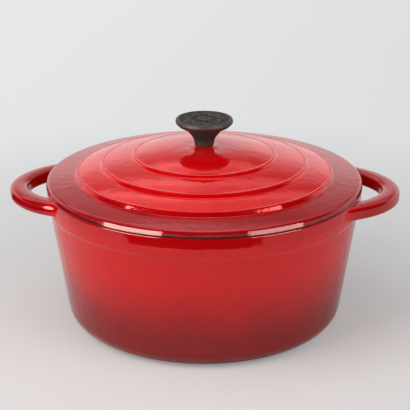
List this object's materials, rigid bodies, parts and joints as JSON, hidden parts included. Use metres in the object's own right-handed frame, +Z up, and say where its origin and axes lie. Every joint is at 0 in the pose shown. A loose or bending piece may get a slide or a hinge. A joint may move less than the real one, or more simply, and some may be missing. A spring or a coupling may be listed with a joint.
{
  "type": "dutch oven",
  "caption": "Round enamelled cast iron dutch oven with two loop handles and a domed, stepped lid that lifts off by a dished black knob screwed on from below.",
  "frame": {"origin": "on the table, under the middle of the pot", "axes": "+Z up, +X through the middle of one handle, +Y away from the side that the picture shows"},
  "size_m": [0.3384, 0.2728, 0.1791],
  "materials": {
    "pot_enamel": "red gloss vitreous enamel outside, darker towards the base",
    "lid_enamel": "red gloss vitreous enamel outside",
    "knob_phenolic": "moulded satin",
    "insert_brass": "turned and knurled",
    "screw_steel": "plain stainless",
    "spring_washer_steel": "plain stainless",
    "flat_washer_steel": "plain stainless"
  },
  "bodies": {
    "pot": {"pot": "pot_enamel"},
    "lid_carrier": {"flat_washer": "flat_washer_steel"},
    "lid": {"lid": "lid_enamel", "knob": "knob_phenolic", "knob_insert": "insert_brass", "knob_screw": "screw_steel", "spring_washer": "spring_washer_steel"}
  },
  "joints": [
    {"name": "lid_lift", "type": "slide", "parent": "pot", "child": "lid_carrier", "axis": [0, 0, 1], "range_m": [0, 0.2]},
    {"name": "lid_turn", "type": "hinge", "parent": "lid_carrier", "child": "lid", "pos_m": [0, 0, 0.14], "axis": [0, 0, 1], "continuous": true}
  ]
}
